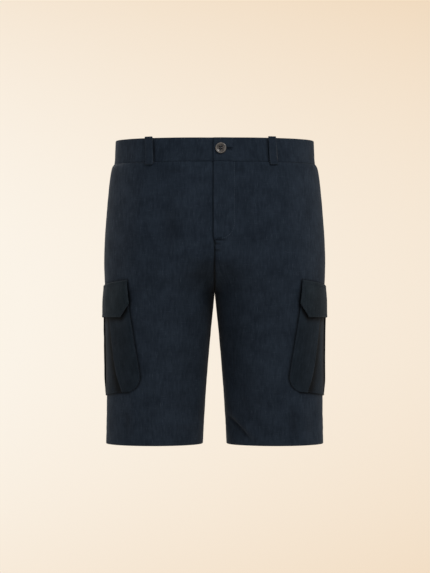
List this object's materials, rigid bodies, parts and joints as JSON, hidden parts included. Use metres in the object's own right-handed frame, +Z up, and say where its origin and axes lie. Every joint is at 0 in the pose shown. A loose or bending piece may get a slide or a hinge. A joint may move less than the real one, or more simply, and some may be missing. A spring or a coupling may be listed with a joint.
{
  "type": "bermuda shorts",
  "caption": "Knee-length shorts with a lapped fly, a buttoned waistband with belt loops and a flapped, pleated cargo pocket on each leg, in the hollow shape that they have when worn.",
  "frame": {"origin": "middle of the waist, halfway up the waistband", "axes": "+Z up, -Y to the wearer's front, +X to the wearer's left"},
  "size_m": [0.376, 0.2639, 0.5072],
  "materials": {
    "linen": "dark navy slubbed linen, matt",
    "zip": "woven tape, matt",
    "button": "dark brown-grey, horn-like, satin"
  },
  "bodies": {
    "root": {"front_left": "linen", "front_right": "linen", "back_left": "linen", "back_right": "linen", "waistband_left": "linen", "waistband_right": "linen", "cargo_pocket_left": "linen", "cargo_pocket_right": "linen", "cargo_flap_left": "linen", "cargo_flap_right": "linen", "belt_loop_front_left": "linen", "belt_loop_front_right": "linen", "belt_loop_back_left": "linen", "belt_loop_back_right": "linen", "belt_loop_centre_back": "linen", "fly_shield": "linen", "fly_zip": "zip", "waist_button": "button"}
  },
  "joints": []
}
